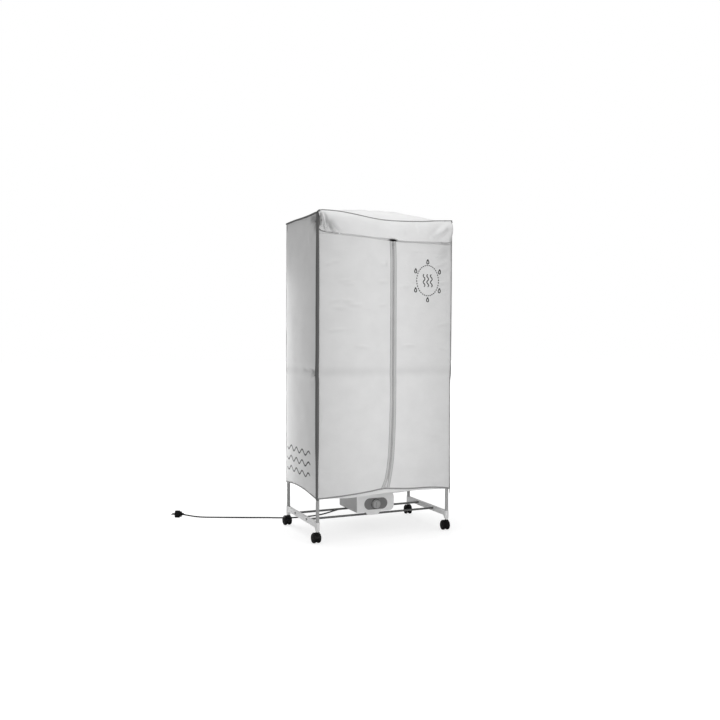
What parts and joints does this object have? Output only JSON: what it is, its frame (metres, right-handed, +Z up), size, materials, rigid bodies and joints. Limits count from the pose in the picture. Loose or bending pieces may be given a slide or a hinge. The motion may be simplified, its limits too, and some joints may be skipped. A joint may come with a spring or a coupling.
{
  "type": "drying cabinet",
  "caption": "Fabric-covered electric clothes-drying cabinet: a pole frame on swivel castors, a zipped cloth cover with a front flap, and a low warm-air unit with a dial timer.",
  "frame": {"origin": "on the floor, in the middle of the four corner poles", "axes": "+X to the right seen from the front, +Y to the back, +Z up"},
  "size_m": [1.2063, 0.8537, 1.5509],
  "materials": {
    "cover_cloth": "thin coated polyester",
    "flap_cloth": "thin coated polyester",
    "floor_cloth": "thin coated polyester",
    "pole_grey": "satin grey paint on steel tube",
    "rail_grey": "satin grey paint on steel tube",
    "rod_white": "satin white paint on steel rod",
    "joint_plastic": "moulded polypropylene",
    "bracket_white": "gloss white powder coat",
    "bar_dark": "dark grey paint on steel bar",
    "bolt_steel": "zinc plated",
    "castor_black": "moulded black nylon",
    "wheel_black": "moulded black nylon tread",
    "heater_shell": "moulded grey plastic",
    "fascia_white": "moulded white plastic",
    "bezel_grey": "moulded dark grey plastic",
    "knob_grey": "moulded grey plastic",
    "grille_grey": "moulded grey plastic",
    "inner_metal": "plain",
    "inner_plastic": "moulded black plastic",
    "zip_metal": "grey painted zinc",
    "cord_black": "smooth black sheath"
  },
  "bodies": {
    "frame": {"lower_pole_front_left": "pole_grey", "upper_pole_front_left": "pole_grey", "lower_pole_front_right": "pole_grey", "upper_pole_front_right": "pole_grey", "lower_pole_rear_left": "pole_grey", "upper_pole_rear_left": "pole_grey", "lower_pole_rear_right": "pole_grey", "upper_pole_rear_right": "pole_grey", "mid_connectors": "joint_plastic", "top_corners": "joint_plastic", "mid_side_rail_left": "rail_grey", "mid_side_rail_right": "rail_grey", "mid_long_rails": "rail_grey", "mid_hanging_rods": "rod_white", "top_side_rail_left": "rail_grey", "top_side_rail_right": "rail_grey", "top_long_rails": "rail_grey", "top_hanging_rods": "rod_white", "base_bracket_left": "bracket_white", "base_bracket_right": "bracket_white", "base_bar_front": "bar_dark", "base_bar_rear": "bar_dark", "bracket_bolts": "bolt_steel", "heater_lower_shell": "heater_shell", "heater_upper_shell": "heater_shell", "outlet_grille": "grille_grey", "control_fascia": "fascia_white", "control_bezel": "bezel_grey", "timer_unit": "inner_plastic", "fan_motor": "inner_metal", "heating_element": "inner_metal", "cover_left_side": "cover_cloth", "cover_right_side": "cover_cloth", "cover_back": "cover_cloth", "cover_roof": "flap_cloth", "cover_floor": "floor_cloth", "cover_header": "cover_cloth", "supply_cord": "cord_black", "cord_gland": "cord_black", "mains_plug": "cord_black"},
    "castor_front_left": {"castor_yoke_front_left": "castor_black"},
    "wheel_a_front_left": {"castor_wheel_a_front_left": "wheel_black"},
    "wheel_b_front_left": {"castor_wheel_b_front_left": "wheel_black"},
    "castor_front_right": {"castor_yoke_front_right": "castor_black"},
    "wheel_a_front_right": {"castor_wheel_a_front_right": "wheel_black"},
    "wheel_b_front_right": {"castor_wheel_b_front_right": "wheel_black"},
    "castor_rear_left": {"castor_yoke_rear_left": "castor_black"},
    "wheel_a_rear_left": {"castor_wheel_a_rear_left": "wheel_black"},
    "wheel_b_rear_left": {"castor_wheel_b_rear_left": "wheel_black"},
    "castor_rear_right": {"castor_yoke_rear_right": "castor_black"},
    "wheel_a_rear_right": {"castor_wheel_a_rear_right": "wheel_black"},
    "wheel_b_rear_right": {"castor_wheel_b_rear_right": "wheel_black"},
    "knob": {"timer_knob": "knob_grey"},
    "fan": {"fan_impeller": "inner_plastic"},
    "left_half": {"front_panel_left": "cover_cloth"},
    "right_half": {"front_panel_right": "cover_cloth"},
    "flap": {"cover_flap": "flap_cloth"},
    "slider": {"zip_slider": "zip_metal"},
    "pull": {"zip_pull": "zip_metal"}
  },
  "joints": [
    {"name": "swivel_front_left", "type": "hinge", "parent": "frame", "child": "castor_front_left", "pos_m": [-0.337, -0.2, 0.06], "axis": [0, 0, 1], "continuous": true},
    {"name": "roll_a_front_left", "type": "hinge", "parent": "castor_front_left", "child": "wheel_a_front_left", "pos_m": [-0.33669, -0.182, 0.023], "axis": [-0.9998, 0.0175, 0], "continuous": true},
    {"name": "roll_b_front_left", "type": "hinge", "parent": "castor_front_left", "child": "wheel_b_front_left", "pos_m": [-0.33669, -0.182, 0.023], "axis": [-0.9998, 0.0175, 0], "continuous": true},
    {"name": "swivel_front_right", "type": "hinge", "parent": "frame", "child": "castor_front_right", "pos_m": [0.337, -0.2, 0.06], "axis": [0, 0, 1], "continuous": true},
    {"name": "roll_a_front_right", "type": "hinge", "parent": "castor_front_right", "child": "wheel_a_front_right", "pos_m": [0.33919, -0.18213, 0.023], "axis": [-0.9925, 0.1219, 0], "continuous": true},
    {"name": "roll_b_front_right", "type": "hinge", "parent": "castor_front_right", "child": "wheel_b_front_right", "pos_m": [0.33919, -0.18213, 0.023], "axis": [-0.9925, 0.1219, 0], "continuous": true},
    {"name": "swivel_rear_left", "type": "hinge", "parent": "frame", "child": "castor_rear_left", "pos_m": [-0.337, 0.2, 0.06], "axis": [0, 0, 1], "continuous": true},
    {"name": "roll_a_rear_left", "type": "hinge", "parent": "castor_rear_left", "child": "wheel_a_rear_left", "pos_m": [-0.33763, 0.21799, 0.023], "axis": [-0.9994, -0.0349, 0], "continuous": true},
    {"name": "roll_b_rear_left", "type": "hinge", "parent": "castor_rear_left", "child": "wheel_b_rear_left", "pos_m": [-0.33763, 0.21799, 0.023], "axis": [-0.9994, -0.0349, 0], "continuous": true},
    {"name": "swivel_rear_right", "type": "hinge", "parent": "frame", "child": "castor_rear_right", "pos_m": [0.337, 0.2, 0.06], "axis": [0, 0, 1], "continuous": true},
    {"name": "roll_a_rear_right", "type": "hinge", "parent": "castor_rear_right", "child": "wheel_a_rear_right", "pos_m": [0.34256, 0.21712, 0.023], "axis": [-0.9511, 0.309, 0], "continuous": true},
    {"name": "roll_b_rear_right", "type": "hinge", "parent": "castor_rear_right", "child": "wheel_b_rear_right", "pos_m": [0.34256, 0.21712, 0.023], "axis": [-0.9511, 0.309, 0], "continuous": true},
    {"name": "timer_turn", "type": "hinge", "parent": "frame", "child": "knob", "pos_m": [0.004, -0.094, 0.137], "axis": [0, 1, 0], "range_deg": [0, 300]},
    {"name": "fan_spin", "type": "hinge", "parent": "frame", "child": "fan", "pos_m": [0.004, 0.03, 0.123], "axis": [0, 0, 1], "continuous": true},
    {"name": "left_half_fold", "type": "hinge", "parent": "frame", "child": "left_half", "pos_m": [-0.346, -0.2116, 0.8], "axis": [0, 0, -1], "range_deg": [0, 110]},
    {"name": "right_half_fold", "type": "hinge", "parent": "frame", "child": "right_half", "pos_m": [0.346, -0.2116, 0.8], "axis": [0, 0, 1], "range_deg": [0, 110]},
    {"name": "flap_lift", "type": "hinge", "parent": "frame", "child": "flap", "pos_m": [0, -0.2136, 1.508], "axis": [-1, 0, 0], "range_deg": [0, 100]},
    {"name": "zip_slide", "type": "slide", "parent": "left_half", "child": "slider", "axis": [0.0164, 0, 0.9999], "range_m": [-1.084, 0]},
    {"name": "pull_swing", "type": "hinge", "parent": "slider", "child": "pull", "pos_m": [0.0318, -0.2184, 1.37425], "axis": [-1, 0, 0], "range_deg": [0, 95]}
  ]
}
